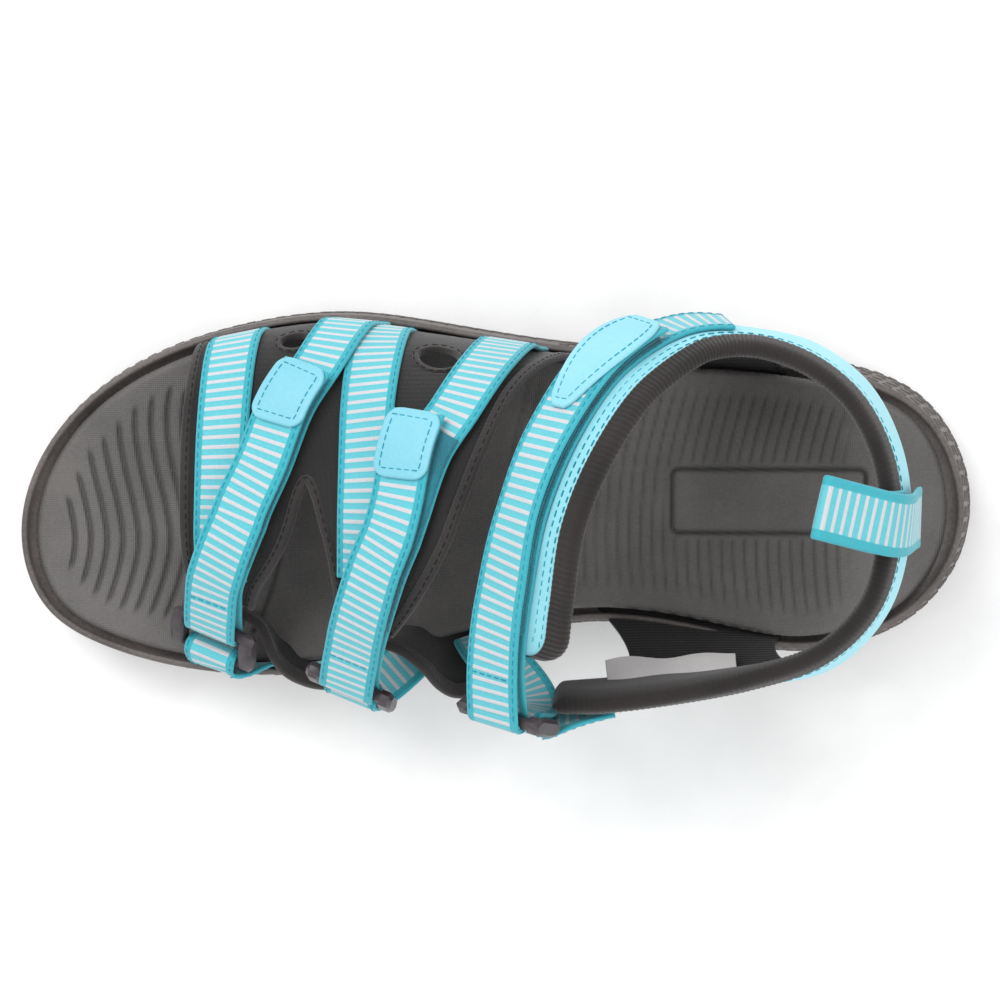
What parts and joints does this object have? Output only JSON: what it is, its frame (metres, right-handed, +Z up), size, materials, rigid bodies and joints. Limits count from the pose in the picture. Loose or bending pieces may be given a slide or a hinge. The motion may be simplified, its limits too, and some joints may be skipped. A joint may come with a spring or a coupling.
{
  "type": "strappy sport sandal",
  "caption": "Right-foot sport sandal with striped webbing straps over a stretch lining, hook-and-loop closures through rings, padded ankle collar and contoured footbed.",
  "frame": {"origin": "on the ground under the middle of the sole, halfway along its length", "axes": "+X from toe to heel, +Y to the outer side of the foot, +Z up"},
  "size_m": [0.2764, 0.1157, 0.103],
  "materials": {
    "outsole_rubber": "matte moulded rubber",
    "midsole_foam": "matte moulded foam",
    "footbed_foam": "matte foam with fine mesh texture",
    "board": "fibre board",
    "stretch_lining": "matte stretch knit",
    "webbing": "woven with pale reflective bars",
    "hook_and_loop": "fuzzy",
    "tab_synthetic": "smooth synthetic leather",
    "collar_cover": "smooth coated knit",
    "collar_foam": "open foam",
    "ring_plastic": "satin moulded plastic",
    "label_film": "satin film"
  },
  "bodies": {
    "root": {"anchor_ankle": "webbing", "anchor_ball": "webbing", "anchor_instep": "webbing", "collar_cover": "collar_cover", "collar_foam": "collar_foam", "collar_lining": "stretch_lining", "footbed": "footbed_foam", "gusset_front": "stretch_lining", "gusset_rear": "stretch_lining", "heel_pull_base": "webbing", "lasting_board": "board", "loop_tape_ankle": "hook_and_loop", "loop_tape_ball": "hook_and_loop", "loop_tape_instep": "hook_and_loop", "midsole": "midsole_foam", "outsole": "outsole_rubber", "quarter_lateral": "stretch_lining", "quarter_medial": "stretch_lining", "size_label": "label_film", "strap_ankle_fixed": "webbing", "strap_ball_fixed": "webbing", "strap_instep_fixed": "webbing", "strap_mid": "webbing", "strap_toe": "webbing", "vamp_lining": "stretch_lining", "vamp_rear_binding": "stretch_lining", "vamp_toe_binding": "stretch_lining"},
    "ring_ball": {"ring_ball": "ring_plastic"},
    "ring_instep": {"ring_instep": "ring_plastic"},
    "ring_ankle": {"ring_ankle": "ring_plastic"},
    "strap_ball": {"strap_ball_free": "webbing", "hook_tape_ball": "hook_and_loop", "tab_ball": "tab_synthetic"},
    "strap_instep": {"strap_instep_free": "webbing", "hook_tape_instep": "hook_and_loop", "tab_instep": "tab_synthetic"},
    "strap_ankle": {"strap_ankle_free": "webbing", "hook_tape_ankle": "hook_and_loop", "tab_ankle": "tab_synthetic"},
    "pull": {"heel_pull": "webbing"}
  },
  "joints": [
    {"name": "ring_ball_swivel", "type": "hinge", "parent": "root", "child": "ring_ball", "pos_m": [-0.07949, -0.0432, 0.03298], "axis": [0.9224, -0.3495, 0.1643], "range_deg": [0, 15]},
    {"name": "strap_ball_peel", "type": "hinge", "parent": "ring_ball", "child": "strap_ball", "pos_m": [-0.07774, -0.03511, 0.04038], "axis": [0.9224, -0.3495, 0.1643], "range_deg": [0, 120]},
    {"name": "ring_instep_swivel", "type": "hinge", "parent": "root", "child": "ring_instep", "pos_m": [-0.03821, -0.05326, 0.03812], "axis": [0.9308, -0.3559, 0.0828], "range_deg": [0, 15]},
    {"name": "strap_instep_peel", "type": "hinge", "parent": "ring_instep", "child": "strap_instep", "pos_m": [-0.03797, -0.05015, 0.04877], "axis": [0.9308, -0.3559, 0.0828], "range_deg": [0, 120]},
    {"name": "ring_ankle_swivel", "type": "hinge", "parent": "root", "child": "ring_ankle", "pos_m": [0.01046, -0.05636, 0.06719], "axis": [0.8719, -0.1788, 0.4558], "range_deg": [0, 15]},
    {"name": "strap_ankle_peel", "type": "hinge", "parent": "ring_ankle", "child": "strap_ankle", "pos_m": [0.00574, -0.05428, 0.07702], "axis": [0.8719, -0.1788, 0.4558], "range_deg": [0, 120]},
    {"name": "heel_pull_flop", "type": "hinge", "parent": "root", "child": "pull", "pos_m": [0.10575, 0.00016, 0.08478], "axis": [-0.0196, 0.9998, 0.0077], "range_deg": [0, 100]}
  ]
}
